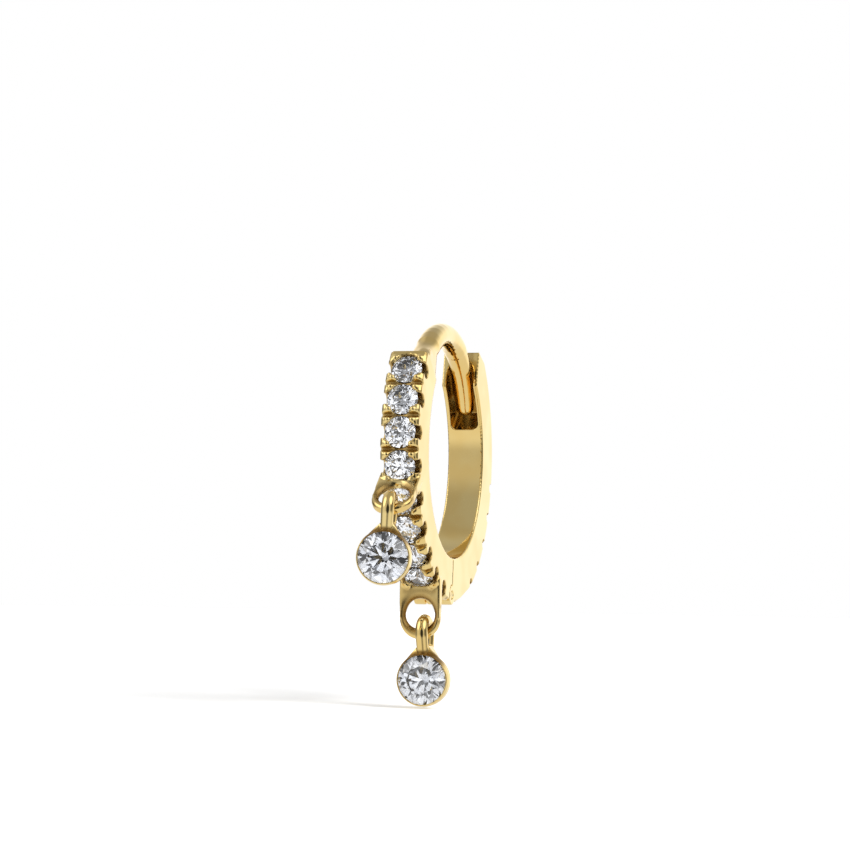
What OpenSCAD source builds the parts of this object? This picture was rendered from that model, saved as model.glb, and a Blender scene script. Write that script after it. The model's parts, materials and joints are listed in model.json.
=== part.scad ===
// Hinged hoop earring with a pave band, an ear wire that clicks into the rear half, and two bezel drops.
// Millimetres. +Z is up, the hoop stands in the YZ plane and its front faces -Y.
// The origin is on the ear wire's centre line, at the top of the hoop, where the ear hangs on it.

/* [Hoop] */
// Inner diameter of the hoop
hoop_inner_d = 6.5; // [6:0.1:9]
// Radial thickness of the band
band_thickness = 1.35; // [1.2:0.01:1.8]
// Metal beside the stones, on each side of the band
side_wall = 0.11; // [0.08:0.01:0.3]
// Width of the chamfers along the band's outer edges
outer_chamfer = 0.08; // [0.04:0.01:0.09]
// Width of the chamfers along the band's inner edges
inner_chamfer = 0.05; // [0.02:0.01:0.08]
// Angle of the seam ahead of the lowest point, in degrees
seam_angle = 4.5; // [0:0.5:10]
// Gap between the two halves at the seam
seam_gap = 0.03; // [0.02:0.01:0.06]
// Angle past the lowest point where the flat under the rear half starts, in degrees
flat_start = 4; // [3:0.5:8]
// Angle past the lowest point where the flat under the rear half ends, in degrees
flat_end = 28; // [20:0.5:30]

/* [Ear wire] */
// Diameter of the ear wire
wire_d = 0.73; // [0.6:0.01:0.8]
// Diameter of the ear wire at its tip
wire_tip_d = 0.54; // [0.4:0.01:0.65]
// Radial step from the hoop's inner face to the inner side of the ear wire
wire_inset = 0.045; // [0.02:0.005:0.2]
// Sideways place of the ear wire on the band
wire_side = 0.095; // [0:0.005:0.15]
// Turn of the ear wire about the vertical, in degrees
wire_skew = 0.7; // [0:0.1:1]
// Sideways drift of the ear wire at its tip
wire_drift = 0.07; // [0:0.01:0.1]
// Height angle of the ear wire's tip above the rear of the hoop, in degrees
tip_angle = 22.8; // [20:0.1:28]
// Length of the blend between the band and the ear wire
shoulder_length = 0.9; // [0.4:0.05:1.3]
// Width of the blend's high side, where it meets the band's end
shoulder_width = 0.33; // [0.2:0.01:0.4]
// Height of the blend's high side over the band's inner face
shoulder_height = 1.1; // [0.8:0.05:1.2]

/* [Catch] */
// Width of the slot that takes the ear wire
slot_width = 0.9; // [0.88:0.01:0.96]
// Radial depth of the slot
slot_depth = 0.92; // [0.8:0.01:1]
// Room below the tip of the ear wire in the slot
slot_room = 0.36; // [0.2:0.01:0.5]
// Angle between the slot's upper end and the catch's lip, in degrees
slot_bridge = 1.6; // [1:0.1:3]
// Corner radius at the lower end of the slot
slot_corner = 0.2; // [0.1:0.01:0.3]
// Height angle of the catch's lip above the rear of the hoop, in degrees
lip_angle = 52.5; // [50:0.5:56]
// Height angle where the scoop leaves the inner face, in degrees
scoop_angle = 44; // [40:0.5:46]
// Thickness of the lip
lip_thickness = 0.34; // [0.28:0.01:0.45]
// Fall of the lip's top towards the outside, in degrees
lip_fall = 22; // [10:1:30]
// Radius of the rounding between the lip's top and the band's outer face
lip_round = 0.35; // [0.2:0.01:0.4]

/* [Pave] */
// Diameter of a small stone
stone_d = 0.94; // [0.8:0.01:1.1]
// Gap between neighbouring small stones
stone_gap = 0.06; // [0.04:0.01:0.15]
// Depth of a small stone's girdle under the band's outer face
stone_set = 0.15; // [0.13:0.01:0.2]
// Number of stones on the front half
front_stones = 9; // [7:1:9]
// Number of stones on the rear half
back_stones = 5; // [3:1:5]
// Distance along the band from the seam to the first front stone
front_first = 1.01; // [0.9:0.01:1.3]
// Distance along the band from the seam to the first rear stone
back_first = 2.41; // [2.3:0.01:3]
// Distance along the band from the last front stone to the band's end
front_end = 0.6; // [0.55:0.01:0.9]
// Diameter of the half round notch beside each front stone
notch_d = 0.4; // [0.3:0.01:0.5]
// Depth of the front notch's centre under the band's outer face
notch_set = 0.27; // [0.2:0.01:0.35]
// Width of the front notch where it opens outwards
notch_mouth = 0.36; // [0.26:0.01:0.46]
// Diameter of the notch beside each rear stone
back_notch_d = 0.29; // [0.24:0.01:0.34]
// Depth of the rear notch's centre under the band's outer face
back_notch_set = 0.12; // [0.1:0.01:0.14]
// Width of the rear notch where it opens outwards
back_notch_mouth = 0.2; // [0.18:0.01:0.24]
// Width of the groove between two front stones
groove_width = 0.2; // [0.12:0.01:0.26]
// Depth of the groove between two front stones
groove_depth = 0.2; // [0.1:0.01:0.26]
// Width of the groove between two rear stones
back_groove_width = 0.12; // [0.08:0.01:0.2]
// Depth of the groove between two rear stones
back_groove_depth = 0.08; // [0.05:0.01:0.12]
// Diameter of the bead at each corner of a stone
bead_d = 0.2; // [0.14:0.01:0.24]

/* [Loops] */
// Stone, counted from the seam, after which the lower loop stands
lower_loop_stone = 1; // [1:1:2]
// Stone, counted from the seam, after which the upper loop stands
upper_loop_stone = 5; // [4:1:6]
// Distance from the band to the lower loop's hole centre
lower_loop_reach = 0.72; // [0.66:0.01:0.9]
// Distance from the band to the upper loop's hole centre
upper_loop_reach = 0.58; // [0.56:0.01:0.9]
// How far a loop stands proud of the band's side
loop_proud = 0.05; // [0.01:0.01:0.1]
// Thickness of a loop's plate
loop_plate = 0.3; // [0.22:0.01:0.36]
// Metal beside a loop's hole
loop_wall = 0.14; // [0.1:0.01:0.2]
// Metal below a loop's hole, where the bail hangs
loop_end = 0.31; // [0.22:0.01:0.36]
// Width of the chamfers round a loop
loop_chamfer = 0.07; // [0.04:0.01:0.09]
// Angle by which a loop leans below the band's radius, in degrees
loop_lean = 24; // [10:1:30]

/* [Drops] */
// Diameter of the stone in a drop
drop_stone_d = 1.5; // [1.2:0.01:1.8]
// Distance of the stone's girdle ahead of the bail's middle
girdle_ahead = 0.46; // [0.4:0.01:0.5]
// Wall of the bezel round the stone
bezel_wall = 0.045; // [0.04:0.005:0.12]
// Depth of the bezel
bezel_depth = 0.92; // [0.8:0.01:1.1]
// Depth of the bezel from its rim to where it starts to narrow
bezel_front = 0.42; // [0.3:0.01:0.5]
// Radius of the bezel's rear end
bezel_rear_r = 0.58; // [0.45:0.01:0.7]
// Wall round the hole in the bezel's rear end
rear_wall = 0.13; // [0.08:0.01:0.2]
// Height of the bezel's rim above the stone's girdle
rim_height = 0.08; // [0.07:0.01:0.12]
// Depth over which the bezel's outside draws in towards the rim
rim_depth = 0.13; // [0.08:0.01:0.16]
// Width over which the bezel's outside draws in towards the rim
rim_fall = 0.03; // [0.02:0.005:0.04]
// Width by which the rim grips over the edge of the stone
rim_grip = 0.013; // [0.01:0.001:0.02]
// Diameter of the bail's wire
bail_wire = 0.38; // [0.3:0.01:0.42]
// Play between the bail and the loop that it hangs on
bail_play = 0.022; // [0.015:0.001:0.05]
// Length of the bail between the loop's bar and the bezel
bail_length = 0.585; // [0.5:0.005:1]
// Distance from the middle plane of a bail's foot to the middle of each leg
bail_foot = 0.26; // [0.2:0.01:0.3]
// Length of the tapered end of a bail's leg
bail_end = 0.2; // [0.16:0.01:0.24]
// Sideways lean of the upper drop, in degrees
upper_lean = 4; // [0:0.5:6]
// Turn of the upper drop about the vertical, in degrees
upper_turn = 8; // [0:1:10]
// Sideways lean of the lower drop, in degrees
lower_lean = -2; // [-4:0.5:0]
// Sideways place of the lower drop on its loop
lower_side = 0.15; // [0:0.01:0.16]
// Turn of the lower drop's bezel on its bail, in degrees
lower_cup_turn = 1; // [0:1:12]

/* [Hinge] */
// Diameter of the hinge pin
pin_d = 0.24; // [0.2:0.01:0.28]
// Depth of the hinge pin's centre under the band's outer face
pin_set = 0.2; // [0.18:0.01:0.26]
// Metal round the pin in the knuckles
knuckle_wall = 0.165; // [0.1:0.005:0.18]
// Width of the middle knuckle
knuckle_width = 0.4; // [0.3:0.01:0.5]
// Running gap round the pin
pin_play = 0.015; // [0.01:0.005:0.03]
// Running gap between the knuckles
knuckle_play = 0.025; // [0.02:0.005:0.05]

/* [Hidden] */
$fn = 96;
// Distance by which a cut passes through what it cuts
past = 0.4;
// Distance by which fused shapes reach into each other
bite = 0.05;
// Clearance between a stone and the metal round it
seat_play = 0.012;

inner_r = hoop_inner_d / 2;
outer_r = inner_r + band_thickness;
band_width = stone_d + 2 * side_wall;
wire_r = inner_r + wire_inset + wire_d / 2;
girdle_r = outer_r - stone_set;
pitch_angle = 2 * asin((stone_d + stone_gap) / 2 / girdle_r);

// Angles in the hoop's plane are counted from the rear, upwards: the front is at 180 and the bottom at 270.
seam = 270 - seam_angle;
half_gap = deg_of(seam_gap / 2, (inner_r + outer_r) / 2);
front_top = front_angle(front_stones) - deg_of(front_end, girdle_r);
taper_start = 66;

// A brilliant's proportions, as shares of its diameter, and its angles between main facets
table_share = 0.57;
star_share = 0.79;
crown_share = 0.15;
girdle_share = 0.03;
pavilion_share = 0.42;
lower_half_share = 0.24;
mains = 8;
main_step = 360 / mains;

loop_width = band_width + 2 * loop_proud;
loop_hole_r = loop_width / 2 - loop_wall;
bar_offset = loop_hole_r + loop_end / 2;
bar_r = max(
    norm([loop_end / 2, loop_plate / 2 - loop_chamfer]),
    norm([loop_end / 2 - loop_chamfer, loop_plate / 2])
);
bail_r = bar_r + bail_play + bail_wire / 2;
bezel_r = drop_stone_d / 2 + seat_play + bezel_wall;
drop = bail_length + bezel_r;
bezel_front_y = girdle_ahead + rim_height;
rear_hole_r = bezel_rear_r - rear_wall;
hang_r = loop_hole_r - bail_wire / 2 - bail_play;
knuckle_r = pin_d / 2 + pin_play + knuckle_wall;
hinge_r = outer_r - pin_set;

function deg_of(arc, r) = arc / r * 180 / PI;
function front_angle(i) = seam - deg_of(front_first, girdle_r) - (i - 1) * pitch_angle;
function back_angle(i) = seam + deg_of(back_first, girdle_r) + (i - 1) * pitch_angle;
function in_plane(r, angle) = [0, r * cos(angle), r * sin(angle) - wire_r];

// How far a bail climbs on the round of its loop's hole when it stands to one side
function climb(side) = hang_r - sqrt(hang_r * hang_r - side * side);

// Direction of a loop's plate, as an angle below the horizontal, and the place of its bar
function loop_base_angle(stone) = front_angle(stone) - pitch_angle / 2;
function loop_dip(stone) = loop_base_angle(stone) - 180 + loop_lean;
function loop_bar(stone, reach) = in_plane(outer_r, loop_base_angle(stone))
    - (reach + bar_offset) * [0, cos(loop_dip(stone)), sin(loop_dip(stone))];

// Puts the hoop's plane, drawn in XY, upright round the hoop's centre
module upright() {
    translate([0, 0, -wire_r]) rotate([90, 0, 90]) children();
}

// Local frame on the hoop: +Z points outwards at the given angle and +X is the hoop's axis
module at_angle(angle, r) {
    translate(in_plane(r, angle)) rotate([angle - 90, 0, 0]) children();
}

// Extrudes a YZ outline along X, centred
module along_x(width) {
    rotate([90, 0, 90]) linear_extrude(width, center = true) children();
}

// A stretch of the band with its full section
module band_stretch(from, to) {
    half = band_width / 2;
    upright() rotate([0, 0, from]) rotate_extrude(angle = to - from) polygon([
        [inner_r, inner_chamfer - half],
        [inner_r + inner_chamfer, -half],
        [outer_r - outer_chamfer, -half],
        [outer_r, outer_chamfer - half],
        [outer_r, half - outer_chamfer],
        [outer_r - outer_chamfer, half],
        [inner_r + inner_chamfer, half],
        [inner_r, half - inner_chamfer]
    ]);
}

// Round brilliant with its girdle's middle at the origin and its table up
function ring(n, r, h, turn) =
    [for (i = [0:n - 1]) [r * cos(i * 360 / n + turn), r * sin(i * 360 / n + turn), h]];

module brilliant(d) {
    r = d / 2;
    half_step = main_step / 2;
    girdle_h = girdle_share * d / 2;
    crown_h = crown_share * d;
    pavilion_h = pavilion_share * d;
    star_h = crown_h * (1 - star_share * cos(half_step)) / (1 - table_share);
    lower_h = pavilion_h * (1 - lower_half_share * cos(half_step));
    points = concat(
        ring(mains, table_share * r, girdle_h + crown_h, 0),
        ring(mains, star_share * r, girdle_h + star_h, half_step),
        ring(2 * mains, r, girdle_h, 0),
        ring(2 * mains, r, -girdle_h, 0),
        ring(mains, lower_half_share * r, -girdle_h - lower_h, half_step),
        [[0, 0, -girdle_h - pavilion_h]]
    );
    star = mains;
    top = 2 * mains;
    low = 4 * mains;
    half = 6 * mains;
    culet = 7 * mains;
    faces = concat(
        [[for (i = [mains - 1:-1:0]) i]],
        [for (i = [0:mains - 1]) [i, (i + 1) % mains, star + i]],
        [for (i = [0:mains - 1]) [i, star + i, top + 2 * i, star + (i + mains - 1) % mains]],
        [for (i = [0:mains - 1]) [star + i, top + 2 * i + 1, top + 2 * i]],
        [for (i = [0:mains - 1]) [star + i, top + (2 * i + 2) % (2 * mains), top + 2 * i + 1]],
        [for (i = [0:2 * mains - 1]) let (j = (i + 1) % (2 * mains)) [top + i, top + j, low + j, low + i]],
        [for (i = [0:mains - 1]) [half + i, low + 2 * i, low + 2 * i + 1]],
        [for (i = [0:mains - 1]) [half + i, low + 2 * i + 1, low + (2 * i + 2) % (2 * mains)]],
        [for (i = [0:mains - 1]) [culet, half + (i + mains - 1) % mains, low + 2 * i, half + i]]
    );
    polyhedron(points, faces);
}

// Room for a brilliant in metal: the stone with its clearance all round
module stone_room(d) {
    r = d / 2 + seat_play;
    girdle_h = girdle_share * d / 2 + seat_play;
    rotate_extrude() polygon([
        [0, -girdle_h - pavilion_share * d - seat_play],
        [r, -girdle_h],
        [r, girdle_h],
        [table_share * r, girdle_h + crown_share * d],
        [0, girdle_h + crown_share * d]
    ]);
}

// What is cut from the band for one small stone: the open seat and the notch on both sides
module seat_cut(angle, across, set, mouth) {
    r = stone_d / 2 + seat_play;
    girdle_h = girdle_share * stone_d / 2 + seat_play;
    at_angle(angle, girdle_r) rotate_extrude() polygon([
        [0, -girdle_h - pavilion_share * stone_d - seat_play],
        [r, -girdle_h],
        [r, stone_set + past],
        [0, stone_set + past]
    ]);
    at_angle(angle, outer_r - set) {
        along_x(band_width + past) circle(d = across, $fn = 48);
        along_x(band_width + past) translate([-mouth / 2, 0]) square([mouth, set + past]);
    }
}

// The groove across the band between two stones
module groove_cut(angle, width, depth) {
    at_angle(angle, outer_r) along_x(band_width + past)
        polygon([[-width, depth], [0, -depth], [width, depth]]);
}

// The room over a small stone's crown, a little wider than its seat, which metal on the band keeps clear of
module crown_room(angle) {
    r = stone_d / 2 + 2 * seat_play;
    girdle_h = girdle_share * stone_d / 2 + seat_play;
    at_angle(angle, girdle_r) rotate_extrude() polygon([
        [0, -band_thickness / 3],
        [r, -band_thickness / 3],
        [r, girdle_h],
        [table_share * stone_d / 2, girdle_h + crown_share * stone_d],
        [0, girdle_h + crown_share * stone_d]
    ]);
}

// Beads that hold one stone at its four corners
module beads(angle) {
    along = (stone_d + stone_gap) / 2 - groove_width / 2 - bead_d / 4;
    across = stone_d / 2 + side_wall / 2 - bead_d * 0.75;
    difference() {
        for (x = [-across, across], y = [-along, along])
            at_angle(angle, outer_r) translate([x, y, -bead_d / 4]) sphere(d = bead_d, $fn = 24);
        crown_room(angle);
    }
}

// A tapering stretch of round wire along the hoop, with a rounded tip
module tapered_wire(from, to, d_from, d_to, drift) {
    sides = 24;
    steps = 8;
    tip_steps = 4;
    tip_arc = deg_of(d_to / 2, wire_r);
    rows = concat(
        [for (i = [0:steps]) let (share = i / steps)
            [from + (to + tip_arc - from) * share, d_from + (d_to - d_from) * share]],
        [for (i = [1:tip_steps - 1]) let (a = 90 * i / tip_steps)
            [to + tip_arc * (1 - sin(a)), d_to * cos(a)]]
    );
    points = concat(
        [for (row = rows, i = [0:sides - 1])
            let (r = wire_r + row[1] / 2 * cos(i * 360 / sides), share = (row[0] - from) / (to - from))
            [r * cos(row[0]), r * sin(row[0]), row[1] / 2 * sin(i * 360 / sides) - drift * share * share]],
        [[wire_r * cos(to), wire_r * sin(to), -drift]]
    );
    last = len(rows) - 1;
    polyhedron(points, concat(
        [[for (i = [0:sides - 1]) i]],
        [for (k = [0:last - 1], i = [0:sides - 1]) let (j = (i + 1) % sides)
            [k * sides + i, (k + 1) * sides + i, (k + 1) * sides + j, k * sides + j]],
        [for (i = [0:sides - 1]) [last * sides + i, (last + 1) * sides, last * sides + (i + 1) % sides]]
    ));
}

// The ear wire with the blend into the band's end
module ear_wire() {
    root = front_top + deg_of(bite, wire_r);
    blend = front_top - deg_of(shoulder_length, wire_r);
    bite_angle = deg_of(bite, wire_r);
    step = 0.01;
    translate([wire_side, 0, 0]) rotate([0, 0, wire_skew]) upright() {
        rotate([0, 0, taper_start]) rotate_extrude(angle = blend + bite_angle - taper_start)
            translate([wire_r, 0]) circle(d = wire_d, $fn = 48);
        tapered_wire(taper_start + bite_angle, tip_angle, wire_d - step, wire_tip_d, wire_drift);
    }
    hull() {
        at_angle(root, inner_r + bite) translate([wire_side - wire_d / 2, 0, 0])
            cube([band_width / 2 - wire_side + wire_d / 2, bite, wire_d + wire_inset]);
        at_angle(root, inner_r + bite) translate([band_width / 2 - shoulder_width, 0, 0])
            cube([shoulder_width, bite, shoulder_height]);
        translate([wire_side, 0, 0]) rotate([0, 0, wire_skew]) at_angle(blend, wire_r)
            rotate([90, 0, 0]) cylinder(d = wire_d + 2 * step, h = bite / 2, $fn = 32);
    }
}

// A loop that stands on the band after the given stone, with its hole's centre at the given reach
module loop(stone, reach) {
    disc_r = loop_width / 2;
    disc_reach = reach + loop_hole_r + loop_end - disc_r;
    root = band_thickness / 4;
    at_loop(stone) difference() {
        union() {
            translate([0, 0, disc_reach]) rotate([90, 0, 0]) rotate_extrude() polygon([
                [0, -loop_plate / 2],
                [disc_r - loop_chamfer, -loop_plate / 2],
                [disc_r, -loop_plate / 2 + loop_chamfer],
                [disc_r, loop_plate / 2 - loop_chamfer],
                [disc_r - loop_chamfer, loop_plate / 2],
                [0, loop_plate / 2]
            ]);
            translate([-disc_r, -loop_plate / 2, -root]) cube([loop_width, loop_plate, disc_reach + root]);
        }
        translate([0, 0, reach]) rotate([90, 0, 0]) rotate_extrude() polygon([
            [0, -loop_plate],
            [loop_hole_r + loop_chamfer + loop_plate / 2, -loop_plate],
            [loop_hole_r, -loop_plate / 2 + loop_chamfer],
            [loop_hole_r, loop_plate / 2 - loop_chamfer],
            [loop_hole_r + loop_chamfer + loop_plate / 2, loop_plate],
            [0, loop_plate]
        ]);
    }
}

// A loop with the two stones beside it left clear
module seated_loop(stone, reach) {
    difference() {
        loop(stone, reach);
        crown_room(front_angle(stone));
        crown_room(front_angle(stone + 1));
    }
}

// Local frame of a loop: +Z points out of the band along the loop's plate, +Y is the plate's upper face
module at_loop(stone) {
    translate(in_plane(outer_r, loop_base_angle(stone))) rotate([90 + loop_dip(stone), 0, 0]) children();
}

// A disc round the hinge pin, over part of the band's width
module hinge_disc(r, width) {
    translate(in_plane(hinge_r, seam)) rotate([0, 90, 0]) cylinder(r = r, h = width, center = true);
}

module hinge_ears(r, inner_width) {
    ear = (band_width - inner_width) / 2;
    for (side = [-1, 1])
        translate([side * (inner_width + ear) / 2, 0, 0]) hinge_disc(r, ear);
}

module front_half() {
    color("gold") difference() {
        union() {
            difference() {
                band_stretch(front_top, seam - half_gap);
                for (i = [1:front_stones]) seat_cut(front_angle(i), notch_d, notch_set, notch_mouth);
                for (i = [1:front_stones - 1])
                    if (i != lower_loop_stone && i != upper_loop_stone)
                        groove_cut(front_angle(i) - pitch_angle / 2, groove_width, groove_depth);
                hinge_ears(knuckle_r + knuckle_play, knuckle_width);
            }
            for (i = [1:front_stones]) beads(front_angle(i));
            seated_loop(lower_loop_stone, lower_loop_reach);
            seated_loop(upper_loop_stone, upper_loop_reach);
            hinge_disc(knuckle_r, knuckle_width);
            ear_wire();
        }
        hinge_disc(pin_d / 2 + pin_play, band_width);
    }
}

// The slot in the catch, cut straight outwards from the hoop's inside, round at its top
module catch_slot() {
    low = tip_angle - deg_of(slot_room, inner_r);
    high = lip_angle - slot_bridge;
    middle = (low + high) / 2;
    floor_r = inner_r + slot_depth;
    half = slot_width / 2;
    low_y = inner_r * sin(middle - low);
    high_y = -floor_r * sin(high - middle);
    at_angle(middle, inner_r - past) linear_extrude(slot_depth + past) difference() {
        translate([-half, high_y + half]) square([slot_width, low_y - high_y - half]);
        for (side = [-1, 1]) translate([side * half, low_y]) difference() {
            square(2 * slot_corner, center = true);
            translate([-side * slot_corner, -slot_corner]) circle(r = slot_corner, $fn = 48);
            translate([-side * slot_corner - slot_corner, -3 * slot_corner]) square(2 * slot_corner);
        }
    }
    at_angle(middle, inner_r - past) translate([0, high_y + half, 0])
        cylinder(r = half, h = slot_depth + past, $fn = 48);
}

// Outline of what the scoop and the sloping top take from the catch, in the hoop's plane
module catch_trim() {
    lip_r = outer_r - lip_thickness;
    foot = inner_r * [cos(scoop_angle), sin(scoop_angle)];
    lip = lip_r * [cos(lip_angle), sin(lip_angle)];
    rise = (lip - foot) / norm(lip - foot);
    up = [sin(lip_fall), cos(lip_fall)];
    top = lip * up - lip_round;
    corner = top * up + sqrt((outer_r - lip_round) ^ 2 - top * top) * [up[1], -up[0]];
    corner_angle = atan2(corner[1], corner[0]);
    rounds = 4;
    round_step = (90 - lip_fall - corner_angle) / (rounds + 1);
    upright() translate([0, 0, -band_width]) linear_extrude(2 * band_width) {
        polygon([
            foot - past * rise,
            lip + past * rise,
            lip + past * rise - [band_width, 0],
            foot - [band_width, 0]
        ]);
        translate(lip) rotate([0, 0, -lip_fall]) translate([-band_thickness, 0])
            square([3 * band_thickness, band_thickness]);
        for (i = [1:rounds])
            translate(corner) rotate([0, 0, corner_angle + round_step * i])
                translate([lip_round, -band_thickness]) square([band_thickness, 2 * band_thickness]);
    }
}

// What the flat takes from the rear half's outside, beside the hinge
module flat_cut() {
    middle = 270 + (flat_start + flat_end) / 2;
    flat_r = outer_r * cos((flat_end - flat_start) / 2);
    at_angle(middle, flat_r) along_x(band_width + past)
        translate([-band_thickness, 0]) square([2 * band_thickness, band_thickness]);
}

module back_half() {
    color("gold") difference() {
        union() {
            difference() {
                band_stretch(seam + half_gap - 360, lip_angle + 3);
                for (i = [1:back_stones])
                    seat_cut(back_angle(i), back_notch_d, back_notch_set, back_notch_mouth);
                for (i = [1:back_stones])
                    groove_cut(back_angle(i) + pitch_angle / 2, back_groove_width, back_groove_depth);
                flat_cut();
                hinge_disc(knuckle_r + knuckle_play, knuckle_width + 2 * knuckle_play);
                catch_slot();
                catch_trim();
            }
            for (i = [1:back_stones]) beads(back_angle(i));
            hinge_ears(knuckle_r, knuckle_width + 2 * knuckle_play);
        }
        hinge_disc(pin_d / 2 + pin_play, band_width + past);
    }
}

module hinge_pin() {
    color("goldenrod") hinge_disc(pin_d / 2, band_width - pin_play);
}

module small_stone(angle) {
    color("lightcyan") at_angle(angle, girdle_r) brilliant(stone_d);
}

// The bail, an oval of round wire in the YZ plane whose arch is centred on the loop's bar
module bail() {
    reach = bail_length + bezel_wall;
    narrowing = asin((bail_r - bail_foot) / reach);
    leg = reach / cos(narrowing) - bail_r * sin(narrowing);
    rotate([90, 0, 90]) rotate([0, 0, -narrowing]) rotate_extrude(angle = 180 + 2 * narrowing)
        translate([bail_r, 0]) circle(d = bail_wire, $fn = 32);
    for (side = [-1, 1])
        translate([0, side * bail_r * cos(narrowing), -bail_r * sin(narrowing)])
            rotate([side * narrowing * -1, 0, 0]) rotate_extrude($fn = 32) polygon([
                [0, 0],
                [0, -leg - bail_end],
                [bail_wire / 3, -leg - bail_end],
                [bail_wire / 2, -leg],
                [bail_wire / 2, 0]
            ]);
}

// The bezel cup round its own centre, its rim towards -Y, with the peak that the bail's foot is soldered to
module bezel() {
    peak_half = bail_wire / 2;
    peak_h = bezel_r + bail_wire / 2;
    peak_d = norm([peak_half, peak_h]);
    tangent = atan2(peak_half, peak_h) + acos(bezel_r / peak_d);
    rear = bezel_depth - bezel_front_y;
    wide_y = bezel_front_y - rim_depth;
    difference() {
        union() {
            rotate([90, 0, 0]) rotate_extrude() polygon([
                [0, -rear],
                [bezel_rear_r, -rear],
                [bezel_r, bezel_front_y - bezel_front],
                [bezel_r, wide_y],
                [bezel_r - rim_fall, bezel_front_y],
                [0, bezel_front_y]
            ]);
            rotate([90, 0, 0]) linear_extrude(wide_y) polygon([
                [0, 0],
                [bezel_r * sin(tangent), bezel_r * cos(tangent)],
                [peak_half, peak_h],
                [-peak_half, peak_h],
                [-bezel_r * sin(tangent), bezel_r * cos(tangent)]
            ]);
        }
        translate([0, -girdle_ahead, 0]) rotate([90, 0, 0]) {
            stone_room(drop_stone_d);
            cylinder(r = drop_stone_d / 2 - rim_grip, h = rim_height + past);
            mirror([0, 0, 1]) cylinder(r = rear_hole_r, h = bezel_depth + past);
        }
    }
}

// Local frame of a drop: where its bail's arch is centred, leaning sideways and turned
module at_drop(stone, reach, side, lean, turn) {
    translate(loop_bar(stone, reach) + [side, 0, climb(side) - bail_play / 2])
        rotate([0, lean, turn]) children();
}

// Local frame of the stone in a drop whose bezel is turned on its bail
module at_drop_stone(cup_turn) {
    translate([0, 0, -drop]) rotate([0, 0, cup_turn]) translate([0, -girdle_ahead, 0])
        rotate([90, 0, 0]) children();
}

module setting(cup_turn) {
    color("gold") {
        difference() {
            bail();
            at_drop_stone(cup_turn) stone_room(drop_stone_d);
            at_drop_stone(cup_turn) mirror([0, 0, 1]) cylinder(r = rear_hole_r, h = bezel_depth + past);
        }
        translate([0, 0, -drop]) rotate([0, 0, cup_turn]) bezel();
    }
}

module drop_stone(cup_turn) {
    color("lightcyan") at_drop_stone(cup_turn) brilliant(drop_stone_d);
}

module at_upper_drop() {
    at_drop(upper_loop_stone, upper_loop_reach, 0, upper_lean, upper_turn) children();
}

module at_lower_drop() {
    at_drop(lower_loop_stone, lower_loop_reach, lower_side, lower_lean, 0) children();
}

front_half();
back_half();
hinge_pin();
for (i = [1:front_stones])
    small_stone(front_angle(i));
for (i = [1:back_stones])
    small_stone(back_angle(i));
at_upper_drop() setting(0);  // upper_setting
at_lower_drop() setting(lower_cup_turn);  // lower_setting
at_upper_drop() drop_stone(0);  // upper_stone
at_lower_drop() drop_stone(lower_cup_turn);  // lower_stone
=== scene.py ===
"""Looks of a hinged hoop earring with a pave band, an ear wire that clicks shut and two bezel drops."""

import json
import math

import bmesh
import bpy
import numpy as np
from bpy.props import FloatProperty, FloatVectorProperty, IntProperty, PointerProperty
from mathutils import Matrix, Vector


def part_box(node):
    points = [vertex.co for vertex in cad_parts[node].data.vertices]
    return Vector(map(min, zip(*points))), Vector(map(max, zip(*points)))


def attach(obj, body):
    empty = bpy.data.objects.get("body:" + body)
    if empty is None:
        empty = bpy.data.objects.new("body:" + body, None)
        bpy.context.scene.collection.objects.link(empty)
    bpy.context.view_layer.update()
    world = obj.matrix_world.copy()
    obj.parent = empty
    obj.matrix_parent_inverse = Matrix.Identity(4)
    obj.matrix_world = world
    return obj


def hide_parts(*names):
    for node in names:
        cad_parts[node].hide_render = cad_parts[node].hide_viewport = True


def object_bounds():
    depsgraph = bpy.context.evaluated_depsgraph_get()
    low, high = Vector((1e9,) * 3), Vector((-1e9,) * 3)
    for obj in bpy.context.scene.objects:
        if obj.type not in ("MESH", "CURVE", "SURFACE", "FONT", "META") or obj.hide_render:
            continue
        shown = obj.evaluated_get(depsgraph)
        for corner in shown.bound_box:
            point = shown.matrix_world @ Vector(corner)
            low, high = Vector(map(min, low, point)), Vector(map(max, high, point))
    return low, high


bl_info = {
    "name": "Hoop charm earring",
    "version": (1, 0, 0),
    "blender": (4, 5, 0),
    "location": "View3D > Sidebar > Earring",
    "description": "Builds the metal, the stones and the stage of a small hinged hoop earring",
    "category": "Object",
}

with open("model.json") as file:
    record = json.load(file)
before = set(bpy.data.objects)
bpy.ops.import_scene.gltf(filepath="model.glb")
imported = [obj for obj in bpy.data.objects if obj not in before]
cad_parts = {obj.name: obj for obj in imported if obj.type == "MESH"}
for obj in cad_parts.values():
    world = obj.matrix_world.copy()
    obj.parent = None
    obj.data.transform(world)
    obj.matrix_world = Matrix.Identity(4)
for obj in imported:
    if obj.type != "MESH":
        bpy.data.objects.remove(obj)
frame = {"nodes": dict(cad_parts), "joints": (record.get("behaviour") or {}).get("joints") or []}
CAD_BOX = [list(corner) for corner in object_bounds()]
NODES = frame["nodes"]
MM = 0.001
LOWEST = CAD_BOX[0][2]


def joint_place(name):
    """The point that a joint turns about, in the row frame."""
    found = [joint for joint in frame["joints"] if joint["name"] == name]
    return Vector(found[0]["pos_m"])


def length(name, description, default_mm, low_mm=0.0):
    """A length property whose default is given in millimetres."""
    return FloatProperty(
        name=name,
        description=description,
        default=default_mm * MM,
        min=low_mm * MM,
        subtype="DISTANCE",
        unit="LENGTH",
    )


def angle(name, description, default_degrees):
    """An angle property whose default is given in degrees."""
    default = math.radians(default_degrees)
    return FloatProperty(name=name, description=description, default=default, subtype="ANGLE")


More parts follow.
